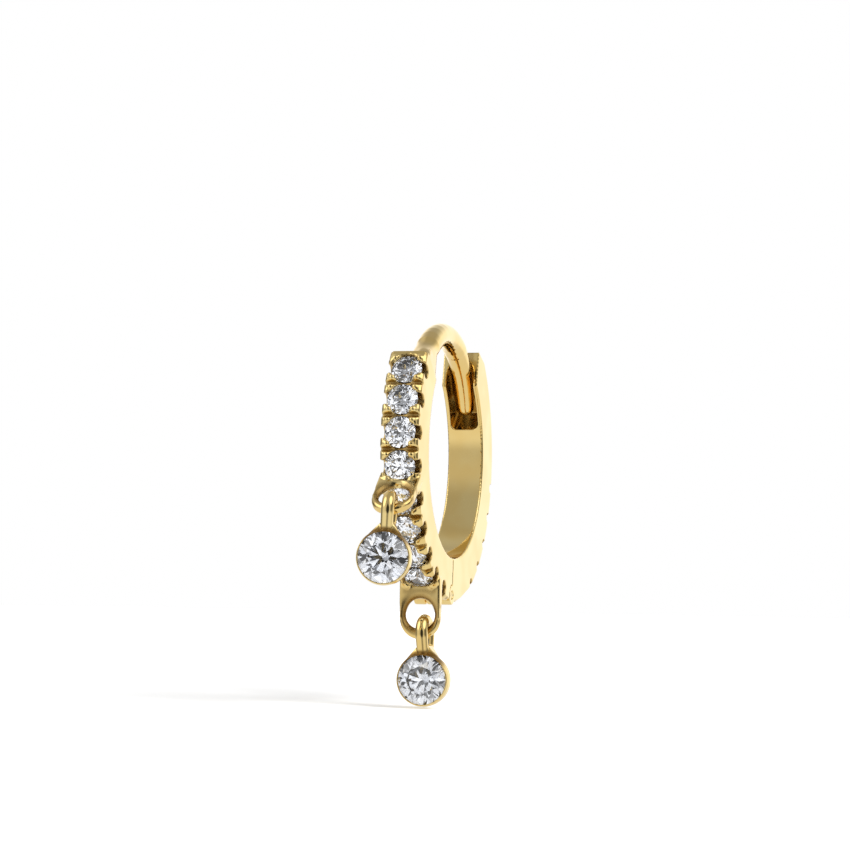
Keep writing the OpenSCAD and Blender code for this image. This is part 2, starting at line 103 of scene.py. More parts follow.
def colour(name, description, default):
    return FloatVectorProperty(
        name=name, description=description, default=default, min=0.0, max=1.0, size=3, subtype="COLOR"
    )


def amount(name, description, default):
    return FloatProperty(
        name=name, description=description, default=default, min=0.0, max=1.0, subtype="FACTOR"
    )


def pixels(name, description, default):
    return FloatProperty(name=name, description=description, default=default, min=1.0, subtype="PIXEL")


class MetalLook(bpy.types.PropertyGroup):
    """Finish of the gold."""

    pale: colour("Pale gold", "Colour of the gold where it is polished most", (0.97, 0.755, 0.33))
    deep: colour("Deep gold", "Colour of the gold in its darker clouds", (0.93, 0.67, 0.25))
    gloss: amount("Roughness", "Lowest roughness of the polished gold", 0.045)
    haze: amount("Haze", "Roughness added by the polishing marks", 0.05)
    cast_voxel: length("Casting grain", "Size of the rounding on the cast edges of the hoop", 0.034, 0.02)
    cup_voxel: length("Cup grain", "Size of the rounding on the edges of a drop", 0.015, 0.01)
    # The recess colour is painted shade in the gold's hollows; the recess roughness is their duller, less
    # polished finish
    recess: colour("Recess", "Colour of the gold where polishing doesn't reach", (0.26, 0.135, 0.025))
    recess_shade_mix: amount("Recess mix", "Share of the recess colour in the deepest recesses", 0.9)
    recess_haze: amount("Recess roughness", "Roughness added in the deepest recesses", 0.36)
    soften: IntProperty(
        name="Softening", description="Rounds of smoothing on the cast metal", default=3, min=0, max=10
    )


class StoneLook(bpy.types.PropertyGroup):
    """Finish of the cut stones."""

    clear: colour("Clear", "Colour of the stones where they are clearest", (0.90, 0.92, 0.96))
    tint: colour("Tint", "Faint tint inside the stones", (0.80, 0.84, 0.92))
    large_pass: amount("Large stones", "Share of the light that the deeper large stones pass", 0.84)
    bend: FloatProperty(
        name="Index of refraction",
        description="How strongly the stones bend light",
        default=2.42,
        min=1.3,
        max=2.8,
    )


class DropSizes(bpy.types.PropertyGroup):
    """Sizes of a drop: a bezel cup on a bail."""

    bail_r: length("Bail radius", "Radius of the bail's arch, to the middle of its wire", 0.3864)
    bail_wire: length("Bail wire", "Diameter of the bail's wire", 0.38)
    bail_length: length("Bail length", "Distance from the bail's centre to the cup's top", 0.585)
    bail_foot: length("Bail foot", "Distance from the middle plane to each leg's foot", 0.26)
    cup_r: length("Cup radius", "Largest outer radius of the cup", 0.807)
    rim_r: length("Rim radius", "Outer radius of the cup's rim", 0.777)
    mouth_r: length("Mouth radius", "Inner radius of the cup's rim", 0.737)
    seat_r: length("Seat radius", "Inner radius of the cup at the stone's girdle", 0.762)
    rear_r: length("Rear radius", "Outer radius of the cup's rear end", 0.58)
    hole_r: length("Hole radius", "Radius of the hole in the cup's rear end", 0.45)
    rim_front: length("Rim front", "Distance from the bail's plane to the rim", 0.54)
    girdle_front: length("Girdle front", "Distance from the bail's plane to the stone's girdle", 0.46)
    wide_front: length("Wide front", "Distance from the bail's plane to where the rim draws in", 0.41)
    wide_rear: length("Wide rear", "Distance from the bail's plane to where the cup narrows", 0.12)
    rear: length("Rear", "Distance from the bail's plane to the cup's rear end", 0.38)
    upper_lean: angle("Upper lean", "Sideways lean of the upper drop", 4.0)
    upper_turn: angle("Upper turn", "Turn of the upper drop about the vertical", 8.0)
    lower_lean: angle("Lower lean", "Sideways lean of the lower drop", -2.0)
    lower_side: length("Lower side", "Sideways place of the lower drop on its loop", 0.15)
    lower_cup_turn: angle("Lower cup turn", "Turn of the lower cup on its bail", 1.0)


class HoopSizes(bpy.types.PropertyGroup):
    """Sizes of the hoop that new pieces follow."""

    centre_drop: length("Centre drop", "Distance from the hanging point down to the hoop's centre", 3.66)
    outer_r: length("Outer radius", "Outer radius of the band", 4.6)
    inner_r: length("Inner radius", "Inner radius of the band", 3.25)
    half_width: length("Half width", "Half the width of the band", 0.58)
    pitch: angle("Pitch", "Angle on the hoop from one stone to the next", 12.9027)
    front_first: angle("Front stones", "Angle on the hoop of the front half's lowest stone", 252.496)
    back_first: angle("Back stones", "Angle on the hoop of the rear half's lowest stone", 296.53)
    stone_r: length("Stone radius", "Radius of a stone of the band", 0.44)
    notch_r: length("Notch radius", "Radius of the notches beside each stone", 0.21)
    groove_half: length("Groove half width", "Half the width of the grooves between the stones", 0.07)
    slot_half: length("Slot half width", "Half the width of the catch's slot with its walls", 0.42)
    wire_start: angle("Wire start", "Angle on the hoop at which the ear wire leaves the band", 141.5)
    wire_blend: angle("Wire blend", "Angle over which the ear wire flows out of the band", 17.0)
    hole_r: length("Hole radius", "Radius of a loop's hole", 0.49)
    plate: length("Loop plate", "Thickness of a loop's plate", 0.3)
    loop_lean: angle("Loop lean", "Angle by which a loop leans below the band's radius", 24.0)
    upper_loop: angle("Upper loop", "Angle on the hoop at which the upper loop stands", 194.434)
    upper_reach: length("Upper reach", "Distance from the band to the upper loop's hole centre", 0.58)
    lower_loop: angle("Lower loop", "Angle on the hoop at which the lower loop stands", 246.044)
    lower_reach: length("Lower reach", "Distance from the band to the lower loop's hole centre", 0.72)
    hollow_width: length("Hollow width", "Width of the round bevel inside a loop", 0.2)
    hollow_swell: length("Hollow swell", "How far the bevel swells into the hole beside the bail", 0.055)
    pin_d: length("Pin diameter", "Diameter of the hinge pin", 0.24)
    pin_round: length("Pin rounding", "Radius of the hinge pin's rounded ends", 0.05)


class StageSizes(bpy.types.PropertyGroup):
    """Camera, light and floor."""

    azimuth: angle("Azimuth", "Angle of the camera round the object", 15.08)
    elevation: angle("Elevation", "Height angle of the camera", -2.93)
    roll: angle("Roll", "Roll of the camera", 0.90)
    distance: length("Distance", "Distance from the camera to the hoop's centre", 78.0)
    focal: pixels("Focal pixels", "Pixels that one millimetre covers at the hoop", 32.26)
    centre_x: pixels("Centre x", "Pixel column of the hoop's centre", 439.1)
    centre_y: pixels("Centre y", "Pixel row of the hoop's centre", 453.2)
    image: pixels("Image side", "Side of the square picture in pixels", 850.0)
    floor_gap: length("Floor gap", "Gap between the lowest drop and the floor", 0.05)
    tent_r: length("Tent radius", "Radius of the light tent round the object", 250.0)


def props(group):
    return getattr(bpy.context.scene, group)


# Shaders


class Value:
    """A number in a shader. Its operators add Math nodes."""

    def __init__(self, shader, socket):
        self.shader = shader
        self.socket = socket

    def __add__(self, other):
        return self.shader.math("ADD", self, other)

    def __sub__(self, other):
        return self.shader.math("SUBTRACT", self, other)

    def __rsub__(self, other):
        return self.shader.math("SUBTRACT", other, self)

    def __mul__(self, other):
        return self.shader.math("MULTIPLY", self, other)


class Shader:
    """Adds nodes to one node tree."""

    def __init__(self, tree):
        self.tree = tree
        self.tree.nodes.clear()

    def node(self, kind, settings=None, **links):
        """Adds a node, sets its settings and then its sockets, each a value or a link."""
        made = self.tree.nodes.new(kind)
        for key, value in (settings or {}).items():
            if key == "stops":
                ramp = made.color_ramp
                while len(ramp.elements) > 1:
                    ramp.elements.remove(ramp.elements[0])
                for number, (place, shade) in enumerate(value):
                    element = ramp.elements[0] if number == 0 else ramp.elements.new(place)
                    element.position = place
                    element.color = (*shade, 1.0)
            else:
                setattr(made, key, value)
        for key, value in links.items():
            self.plug(made.inputs[key.replace("_", " ")], value)
        return made

    def plug(self, socket, value):
        if isinstance(value, Value):
            self.tree.links.new(value.socket, socket)
        elif isinstance(value, bpy.types.NodeSocket):
            self.tree.links.new(value, socket)
        else:
            socket.default_value = value

    def math(self, operation, *terms):
        made = self.node("ShaderNodeMath", {"operation": operation})
        for number, term in enumerate(terms):
            self.plug(made.inputs[number], term)
        return Value(self, made.outputs[0])

    def mix_colour(self, share, first, second):
        made = self.node("ShaderNodeMix", {"data_type": "RGBA"})
        self.plug(made.inputs["Factor"], share)
        self.plug(made.inputs[6], first)
        self.plug(made.inputs[7], second)
        return made.outputs[2]

    def noise(self, coords, scale, detail=3.0, roughness=0.5):
        made = self.node(
            "ShaderNodeTexNoise", Vector=coords, Scale=scale, Detail=detail, Roughness=roughness
        )
        return Value(self, made.outputs["Fac"])

    def span(self, value, low, high):
        """The share of the way that a value has gone from low to high, between 0 and 1."""
        made = self.node("ShaderNodeMapRange", {"interpolation_type": "SMOOTHSTEP"})
        self.plug(made.inputs["Value"], value)
        made.inputs["From Min"].default_value = low
        made.inputs["From Max"].default_value = high
        return Value(self, made.outputs["Result"])


def new_material(name):
    material = bpy.data.materials.new(name)
    material.use_nodes = True
    return material, Shader(material.node_tree)


# The gold's noise, in features per metre: clouds of tone, polishing marks and fine drawn lines
CLOUD_SCALE = 700.0
MARK_SCALE = 5200.0
LINE_SCALE = 16000.0
# Scale of the drawn lines' coordinates along each axis, small where the lines run on
LINE_STRETCH = (1.0, 1.0, 0.12)
# Noise values between which the clouds and the polishing marks show
CLOUD_SPAN = (0.35, 0.65)
MARK_SPAN = (0.3, 0.75)
# The gold's bump: shares of marks and of lines, strength, height, and the share that is lost in a recess
BUMP_SHARES = (0.7, 0.3)
BUMP_STRENGTH = 0.035
BUMP_HEIGHT = 0.02 * MM
BUMP_LOSS = 0.9
# Radius of the worn edges that catch the light
WORN_EDGE = 0.018 * MM
# The stones' noise, in features per metre: clouds of tint and patches of haze, and where each shows
TINT_SCALE = 1400.0
TINT_SPAN = (0.4, 0.7)
HAZE_SCALE = 9000.0
HAZE_SPAN = (0.6, 0.9)
# Most roughness that the haze gives a stone
MOST_HAZE = 0.02


def gold_material(name, dulled=0.0):
    """Polished gold with faint clouds, polishing marks, edges that catch the light and painted shade in its
    recesses.
    """
    look = props("earring_metal")
    material, shader = new_material(name)
    coords = shader.node("ShaderNodeTexCoord").outputs["Object"]
    clouds = shader.noise(coords, CLOUD_SCALE, 2.0)
    marks = shader.noise(coords, MARK_SCALE, 5.0, 0.6)
    stretched = shader.node("ShaderNodeMapping", Vector=coords, Scale=LINE_STRETCH)
    lines = shader.noise(stretched.outputs[0], LINE_SCALE, 2.0)
    recess = Value(shader, shader.node("ShaderNodeAttribute", {"attribute_name": "recess"}).outputs["Fac"])
    polished = shader.mix_colour(shader.span(clouds, *CLOUD_SPAN), (*look.deep, 1.0), (*look.pale, 1.0))
    # Painted shade: the colour darkens towards the recess colour where the recess attribute is high
    base = shader.mix_colour(recess * look.recess_shade_mix, polished, (*look.recess, 1.0))
    edge = shader.node("ShaderNodeBevel", {"samples": 4}, Radius=WORN_EDGE)
    height = (marks * BUMP_SHARES[0] + lines * BUMP_SHARES[1]) * (1 - recess * BUMP_LOSS)
    bump = shader.node(
        "ShaderNodeBump",
        Height=height,
        Strength=BUMP_STRENGTH,
        Distance=BUMP_HEIGHT,
        Normal=edge.outputs["Normal"],
    )
    haze = shader.span(marks, *MARK_SPAN) * look.haze + recess * look.recess_haze
    surface = shader.node(
        "ShaderNodeBsdfPrincipled",
        Base_Color=base,
        Metallic=1.0,
        Roughness=haze + (look.gloss + dulled),
        Normal=bump.outputs["Normal"],
    )
    output = shader.node("ShaderNodeOutputMaterial")
    shader.plug(output.inputs["Surface"], surface.outputs["BSDF"])
    return material


def stone_material(name, passed=1.0):
    """A clear cut stone with a faint tint and a little haze, which passes a share of the light."""
    look = props("earring_stone")
    clear, tint = ([channel * passed for channel in tone] for tone in (look.clear, look.tint))
    material, shader = new_material(name)
    coords = shader.node("ShaderNodeTexCoord").outputs["Object"]
    clouds = shader.noise(coords, TINT_SCALE, 2.0)
    haze = shader.noise(coords, HAZE_SCALE, 3.0)
    surface = shader.node(
        "ShaderNodeBsdfPrincipled",
        Base_Color=shader.mix_colour(shader.span(clouds, *TINT_SPAN), (*clear, 1.0), (*tint, 1.0)),
        Roughness=shader.span(haze, *HAZE_SPAN) * MOST_HAZE,
        IOR=look.bend,
        Transmission_Weight=1.0,
    )
    output = shader.node("ShaderNodeOutputMaterial")
    shader.plug(output.inputs["Surface"], surface.outputs["BSDF"])
    return material


# Mesh helpers

# How far round a point the metal is looked at for a recess, and the depths in millimetres
# at which the painted shade of a recess begins to show and shows fully
RECESS_REACH = 0.18
RECESS_DEPTHS = (0.006, 0.034)
# Rounds of smoothing on the painted recess shade
MARK_ROUNDS = 4


def finish_piece(bm, name, material, body, replaced=()):
    """Turns a bmesh into a piece that rides on a body."""
    bmesh.ops.recalc_face_normals(bm, faces=bm.faces)
    for face in bm.faces:
        face.smooth = True
    mesh = bpy.data.meshes.new(name)
    bm.to_mesh(mesh)
    bm.free()
    piece = bpy.data.objects.new(name, mesh)
    bpy.context.scene.collection.objects.link(piece)
    piece.data.materials.append(material)
    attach(piece, body)
    if replaced:
        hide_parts(*replaced)
    return piece


def mould_object(bm, name):
    """A helper object at a thousand times the size, which the modifiers can work on finely."""
    bmesh.ops.recalc_face_normals(bm, faces=bm.faces)
    bmesh.ops.scale(bm, verts=bm.verts, vec=(1 / MM, 1 / MM, 1 / MM))
    mesh = bpy.data.meshes.new(name)
    bm.to_mesh(mesh)
    bm.free()
    mould = bpy.data.objects.new(name, mesh)
    bpy.context.scene.collection.objects.link(mould)
    return mould


def step(value, low, high):
    """The share of the way from low to high, eased at both ends, for arrays."""
    share = np.clip((value - low) / (high - low), 0, 1)
    return share * share * (3 - 2 * share)


def relaxed(points, pairs, share, rounds):
    """Points drawn towards the mean of their neighbours, each by its share."""
    count = len(points)
    linked = np.bincount(pairs.ravel(), minlength=count)
    for _ in range(rounds):
        mean = np.empty_like(points)
        for axis in range(points.shape[1]):
            mean[:, axis] = np.bincount(pairs[:, 0], points[pairs[:, 1], axis], count)
            mean[:, axis] += np.bincount(pairs[:, 1], points[pairs[:, 0], axis], count)
        mean /= linked[:, None]
        points = points + (mean - points) * share[:, None] * 0.5
    return points


def shape_skin(mesh, grain, shape):
    """Shapes a cast skin in millimetres and marks how deep in a recess each point lies, which paints shade
    there and roughens the gold.
    """
    count = len(mesh.vertices)
    points = np.empty(count * 3)
    mesh.vertices.foreach_get("co", points)
    points = points.reshape(-1, 3)
    pairs = np.empty(len(mesh.edges) * 2, dtype=np.int32)
    mesh.edges.foreach_get("vertices", pairs)
    pairs = pairs.reshape(-1, 2)
    points, marks = shape(points, pairs)
    mesh.vertices.foreach_set("co", points.ravel())
    mesh.update()
    normals = np.empty(count * 3)
    mesh.vertices.foreach_get("normal", normals)
    rounds = int(round((RECESS_REACH / grain) ** 2))
    drawn = relaxed(points, pairs, np.ones(count), rounds) - points
    depth = np.einsum("ij,ij->i", drawn, normals.reshape(-1, 3))
    # Painted shade grows with how deep a point lies in a recess
    marks = np.maximum(marks, step(depth, *RECESS_DEPTHS))
    marks = relaxed(marks[:, None], pairs, np.ones(count), MARK_ROUNDS)[:, 0]
    # The recess attribute paints shade into the gold's colour and adds roughness
    layer = mesh.attributes.new("recess", "FLOAT", "POINT")
    layer.data.foreach_set("value", marks.astype(np.float32))


def cast(bm, grain, soften, shape, core=None):
    """Fuses closed shapes into one skin, less a core, and rounds its edges, as casting and polishing do."""
    helpers = [mould_object(bm, "mould")]
    mould = helpers[0]
    if core:
        helpers.append(mould_object(core, "core"))
        hollow = mould.modifiers.new("hollow", "BOOLEAN")
        hollow.operation = "DIFFERENCE"
        hollow.solver = "EXACT"
        hollow.use_self = True
        hollow.object = helpers[1]
    remesh = mould.modifiers.new("cast", "REMESH")
    remesh.mode = "VOXEL"
    remesh.voxel_size = grain / MM
    polish = mould.modifiers.new("polish", "SMOOTH")
    polish.factor = 0.5
    polish.iterations = soften
    cast_mesh = bpy.data.meshes.new_from_object(mould.evaluated_get(bpy.context.evaluated_depsgraph_get()))
    shape_skin(cast_mesh, grain / MM, shape)
    made = bmesh.new()
    made.from_mesh(cast_mesh)
    bmesh.ops.scale(made, verts=made.verts, vec=(MM, MM, MM))
    bpy.data.meshes.remove(cast_mesh)
    for helper in helpers:
        bpy.data.meshes.remove(helper.data)
    return made


def node_copy(name):
    """A merged copy of a CAD node's mesh, to be shaped further."""
    bm = bmesh.new()
    bm.from_mesh(NODES[name].data)
    bmesh.ops.remove_doubles(bm, verts=bm.verts, dist=0.0005 * MM)
    return bm


def spin_profile(bm, points, axis_point, axis, steps):
    """Spins an open outline, whose ends lie on the axis or close on themselves, round an axis."""
    verts = [bm.verts.new(point) for point in points]
    edges = [bm.edges.new(pair) for pair in zip(verts, verts[1:] + verts[:1])]
    bmesh.ops.spin(
        bm, geom=verts + edges, cent=axis_point, axis=axis, angle=math.tau, steps=steps, use_merge=True
    )
    bmesh.ops.remove_doubles(bm, verts=bm.verts, dist=0.0002 * MM)


def arc(centre, radius, start, end, count):
    """Points on an arc, in the plane of radius and height, with angles in degrees."""
    for number in range(count + 1):
        turn = math.radians(start + (end - start) * number / count)
        yield centre[0] + radius * math.cos(turn), centre[1] + radius * math.sin(turn)


# Pieces

# Depth in millimetres under a plain face from which a mark of painted shade may begin
SKIN = 0.012
# The first and the last stone of each half, counted round the hoop from its lowest stone
FRONT_ORDER = (-8, 0)
BACK_ORDER = (0, 4)
# Angles on the hoop where the band's outer face is plain: up to the catch, and either side of the hinge
CATCH_END = 90
HINGE_SPAN = (262, 289)
# Distance in millimetres within which a point is drawn onto a plain round face
FACET_REACH = 0.016
# Depths in millimetres under the band's outer face down to which seats and grooves are marked with painted
# shade
SEAT_DEPTH = 0.7
GROOVE_DEPTH = 0.25
# How far inside a stone's edge the painted shade of its seat ends, in millimetres
SEAT_PLAY = 0.02
# Distance in millimetres from the middle plane at which the painted shade of the side notches begins
NOTCH_FROM = 0.3
# How many pitches past its first and last stone a row still has painted shade in its grooves
ROW_PAST = 0.8
# How dark the painted shade of each mark on the band is
SEAT_SHADE = 0.95
NOTCH_SHADE = 0.7
GROOVE_SHADE = 0.75
SLOT_SHADE = 0.45
# The slot's painted shade, in millimetres: heights over the band's inner face at which it begins and is
# full, and the depth under the outer face at which it ends
SLOT_HEIGHTS = (0.04, 0.3)
SLOT_LIP = 0.15
# Share of the hoop's grain that the rear half is cast in, for the thin walls of its catch
BACK_GRAIN = 0.8
# A loop's shaped skin, in millimetres: how far past the plate it may lie and how far off the band it starts
LOOP_SKIN = 0.04
LOOP_CLEAR = 0.1
# Share of the plate's thickness that the round bevel leaves at the hole's edge
LOOP_EDGE = 0.42
# The swell fades round the hole, between these cosines of the angle from the loop's outer end
SWELL_FADE = (-0.5, 0.8)
# Shares of the bevel's width between which its painted shade fades, and where the painted dark ring round
# it begins and ends
BEVEL_FADE = (0.4, 0.75)
RING_BEGINS = (0.72, 0.82)
RING_ENDS = (0.9, 1.0)
# The painted shade on a loop's foot, in millimetres from the hole's centre: its half width, where it may
# begin, and where it darkens towards the band
FOOT_HALF = 0.5
FOOT_FROM = 0.4
FOOT_DARKENS = (0.5, 0.66)
# How far into the band the foot's painted shade reaches, in millimetres
FOOT_SINK = 0.02
# How dark the painted shade of each mark on a loop is
BEVEL_SHADE = 0.85
RING_SHADE = 0.55
FOOT_SHADE = 0.5
# The ear wire's flow out of the band: degrees over which it eases at the wire and at the band, radii in
# millimetres between which it fades, and rounds of drawing together
FLOW_EASE = (3, 2)
FLOW_RADII = (4.05, 4.2)
FLOW_ROUNDS = 70
# A cup's small chamfers and shoulders
CUP_CHAMFER = 0.04 * MM
CUP_SHOULDER = 0.03 * MM
# The seat in a cup: how far behind the girdle its cone begins, its straight stretch behind and ahead of
# the girdle, the lip over the girdle and the widening of the mouth
SEAT_CONE = 0.36 * MM
SEAT_BEHIND = 0.03 * MM
SEAT_AHEAD = 0.02 * MM
SEAT_LIP = 0.04 * MM
MOUTH_FLARE = 0.01 * MM
# The peak's top under the bail's legs: rise and half width as shares of the bail's wire, then its length,
# its thickness and how far it stands ahead of the bail's plane
PEAK_RISE = 0.55
PEAK_HALF = 0.42
PEAK_LENGTH = 0.5 * MM
PEAK_THICKNESS = 0.02 * MM
PEAK_AHEAD = 0.04 * MM
# How far the bail's legs run into the cup, and the radius of their feet as a share of the wire's diameter
LEG_SINK = 0.06 * MM
LEG_TAPER = 0.46
# The painted shade on the peak's front: millimetres ahead of the bail's plane over which it darkens,
# degrees from the top over which it fades, and radii in millimetres over which it begins and ends
PEAK_SHADE_AHEAD = (0.16, 0.3)
PEAK_SHADE_SIDE = (44, 70)
PEAK_SHADE_BEGINS = (0.70, 0.74)
PEAK_SHADE_ENDS = (0.84, 0.93)
# Roughness added to the pin, which no polish reaches well, and the angle past which an edge is its rim
PIN_DULL = 0.05
RIM_ANGLE = math.radians(60)


def cup_outline(sizes):
    """Half section of a bezel cup without its hollow: radius and distance towards its front."""
    rim = (sizes.rim_r - sizes.mouth_r) / 2
    return [
        (0.0, -sizes.rear),
        (sizes.rear_r - CUP_CHAMFER, -sizes.rear),
        (sizes.rear_r, -sizes.rear + CUP_CHAMFER),
        (sizes.cup_r - CUP_CHAMFER / 2, sizes.wide_rear - CUP_CHAMFER),
        (sizes.cup_r, sizes.wide_rear + CUP_SHOULDER),
        (sizes.cup_r, sizes.wide_front - CUP_SHOULDER),
        *arc((sizes.rim_r - rim, sizes.rim_front - rim), rim, 20, 90, 4),
        (0.0, sizes.rim_front),
    ]


def core_outline(sizes):
    """Half section of the cup's hollow, in which the stone sits."""
    past = 0.2 * MM
    return [
        (0.0, -sizes.rear - past),
        (sizes.hole_r, -sizes.rear - past),
        (sizes.hole_r, sizes.girdle_front - SEAT_CONE),
        (sizes.seat_r, sizes.girdle_front - SEAT_BEHIND),
        (sizes.seat_r, sizes.girdle_front + SEAT_AHEAD),
        (sizes.mouth_r, sizes.girdle_front + SEAT_LIP),
        (sizes.mouth_r + MOUTH_FLARE, sizes.rim_front + past),
        (0.0, sizes.rim_front + past),
    ]


def cup_mesh(bm, outline, drop):
    """A spun part of the cup, its front towards -Y, below a bail that is centred on the origin."""
    centre = Vector((0, 0, -drop))
    points = [centre + Vector((radius, -ahead, 0)) for radius, ahead in outline]
    spin_profile(bm, points, centre, (0, 1, 0), 96)


def peak_mesh(bm, sizes, drop):
    """The drawn-up top of the cup, which the bail's legs stand on."""
    made = []
    rings = ((sizes.wide_front - 0.02 * MM, sizes.cup_r - 0.01 * MM), (0.0, sizes.cup_r - 0.07 * MM))
    for ahead, radius in rings:
        place = Matrix.Translation((0, -ahead, -drop)) @ Matrix.Rotation(math.pi / 2, 4, "X")
        ring = bmesh.ops.create_circle(bm, radius=radius, segments=64, matrix=place)
        made += ring["verts"]
    top = -drop + sizes.cup_r + sizes.bail_wire * PEAK_RISE
    half = sizes.bail_wire * PEAK_HALF
    size = Matrix.Diagonal((2 * half, PEAK_LENGTH, PEAK_THICKNESS, 1.0))
    place = Matrix.Translation((0, -PEAK_AHEAD, top)) @ size
    foot = bmesh.ops.create_cube(bm, size=1.0, matrix=place)
    made += foot["verts"]
    faces = list({face for vert in made for face in vert.link_faces})
    bmesh.ops.delete(bm, geom=faces, context="FACES_ONLY")
    bmesh.ops.convex_hull(bm, input=made)


def bail_mesh(bm, sizes):
    """The bail: an arch of round wire and two legs that draw together."""
    reach = sizes.bail_length + LEG_SINK
    narrowing = math.asin((sizes.bail_r - sizes.bail_foot) / reach)
    leg = reach / math.cos(narrowing)
    end = Matrix.Translation((0, sizes.bail_r, 0))
    ring = bmesh.ops.create_circle(
        bm, radius=sizes.bail_wire / 2, segments=32, cap_ends=True, matrix=end
    )
    faces = {face for vert in ring["verts"] for face in vert.link_faces}
    bmesh.ops.rotate(bm, verts=ring["verts"], cent=(0, 0, 0), matrix=Matrix.Rotation(-narrowing, 3, "X"))
    bmesh.ops.spin(
        bm,
        geom=[*ring["verts"], *{edge for vert in ring["verts"] for edge in vert.link_edges}, *faces],
        cent=(0, 0, 0),
        axis=(1, 0, 0),
        angle=math.pi + 2 * narrowing,
        steps=40,
    )
    for side in (-1, 1):
        top = Vector((0, side * sizes.bail_r * math.cos(narrowing), -sizes.bail_r * math.sin(narrowing)))
        place = (
            Matrix.Translation(top)
            @ Matrix.Rotation(-side * narrowing, 4, "X")
            @ Matrix.Translation((0, 0, -leg / 2))
        )
        bmesh.ops.create_cone(
            bm,
            cap_ends=True,
            segments=32,
            radius1=sizes.bail_wire * LEG_TAPER,
            radius2=sizes.bail_wire / 2,
            depth=leg,
            matrix=place,
        )


def polar(points, sizes):
    """Radius and angle of points round the hoop's centre, in millimetres and degrees."""
    ahead, up = points[:, 1], points[:, 2] + sizes.centre_drop / MM
    return np.hypot(ahead, up), np.degrees(np.arctan2(up, ahead)) % 360


def trued(points, sizes):
    """Draws points that lie almost on the band's plain round faces onto them, so that no facet shows."""
    radius, angle = polar(points, sizes)
    scale = np.ones(len(points))
    plain = (angle < CATCH_END) | ((angle > HINGE_SPAN[0]) & (angle < HINGE_SPAN[1]))
    for exact, where in ((sizes.inner_r / MM, True), (sizes.outer_r / MM, plain)):
        close = (np.abs(radius - exact) < FACET_REACH) & where
        scale[close] = exact / radius[close]
    centre = np.array((0.0, 0.0, -sizes.centre_drop / MM))
    moved = (points - centre) * scale[:, None] + centre
    moved[:, 0] = points[:, 0]
    return moved


def pave_marks(points, sizes, first, count):
    """Marks painted shade in the seats under the stones, the notches beside them and the grooves between
    them.
    """
    radius, angle = polar(points, sizes)
    outer = sizes.outer_r / MM
    place = (angle - math.degrees(first)) / math.degrees(sizes.pitch)
    order = np.clip(np.round(place), *count)
    along = (place - order) * sizes.pitch * radius
    across = np.abs(points[:, 0])
    below = (radius < outer - SKIN) & (radius > outer - SEAT_DEPTH)
    below &= across < sizes.half_width / MM - SKIN
    seat = np.hypot(across, along) < sizes.stone_r / MM - SEAT_PLAY
    notch = (np.abs(along) < sizes.notch_r / MM) & (across > NOTCH_FROM)
    gap = np.abs(np.abs(place - np.round(place)) - 0.5) * sizes.pitch * radius
    within = (place > count[0] - ROW_PAST) & (place < count[1] + ROW_PAST)
    groove = within & (gap < sizes.groove_half / MM) & (radius > outer - GROOVE_DEPTH)
    # Painted shade in the seats, the side notches and the grooves
    marks = np.maximum(seat * SEAT_SHADE, notch * NOTCH_SHADE)
    return below * np.maximum(marks, groove * GROOVE_SHADE)


def loop_shaped(points, sizes, base_angle, reach):
    """Bevels the inside of one loop roundly, swells it into the hole beside the bail and paints shade on
    the bevel, in a ring round it and on the loop's foot.
    """
    dip = base_angle - math.pi + sizes.loop_lean
    out = np.array((0.0, -math.cos(dip), -math.sin(dip)))
    up = np.array((0.0, -math.sin(dip), math.cos(dip)))
    base = np.array((0.0, math.cos(base_angle), math.sin(base_angle))) * (sizes.outer_r / MM)
    base[2] -= sizes.centre_drop / MM
    local = points - base
    across, high, far = local[:, 0], local @ up, local @ out - reach / MM
    hole, half, width = sizes.hole_r / MM, sizes.plate / MM / 2, sizes.hollow_width / MM
    away = np.hypot(across, far)
    skin = np.abs(high) < half + LOOP_SKIN
    near = skin & (away < hole + width) & (far > LOOP_CLEAR - reach / MM)
    share = np.clip((away - hole) / width, 0, 1)
    beside = 1 - step(far / away, *SWELL_FADE)
    inward = near * beside * (sizes.hollow_swell / MM) * (1 - share)
    thin = LOOP_EDGE + (1 - LOOP_EDGE) * np.sqrt(1 - (1 - share) ** 2)
    moved_high = np.where(near, high * thin, high)
    scale = (away - inward) / away - 1
    moved = (
        points
        + np.outer(across * scale, (1.0, 0.0, 0.0))
        + np.outer(far * scale, out)
        + np.outer(moved_high - high, up)
    )
    # Painted shade: a dark ring round the bevel, the bevel itself, and the loop's foot towards the band
    ring = step(share, *RING_BEGINS) * (1 - step(share, *RING_ENDS)) * RING_SHADE
    bevel = (1 - step(share, *BEVEL_FADE)) * BEVEL_SHADE
    foot = skin & (np.abs(across) < FOOT_HALF) & (far < -FOOT_FROM) & (far > -FOOT_SINK - reach / MM)
    foot_shade = foot * step(-far, *FOOT_DARKENS) * FOOT_SHADE
    return moved, np.maximum(near * np.maximum(ring, bevel), foot_shade)


def front_shaped(points, pairs):
    """The front half's loops, the flow of the ear wire out of the band and the painted shade on its loops
    and pave.
    """
    sizes = props("earring_hoop")
    points = trued(points, sizes)
    points, upper_marks = loop_shaped(points, sizes, sizes.upper_loop, sizes.upper_reach)
    points, lower_marks = loop_shaped(points, sizes, sizes.lower_loop, sizes.lower_reach)
    radius, angle = polar(points, sizes)
    start = math.degrees(sizes.wire_start)
    end = start - math.degrees(sizes.wire_blend)
    share = step(angle, end - FLOW_EASE[0], end) * (1 - step(angle, start - FLOW_EASE[1], start))
    share *= 1 - step(radius, *FLOW_RADII)
    # Painted shade from the loops and the pave
    marks = np.maximum(upper_marks, lower_marks)
    marks = np.maximum(marks, pave_marks(points, sizes, sizes.front_first, FRONT_ORDER))
    return relaxed(points, pairs, share, FLOW_ROUNDS), marks


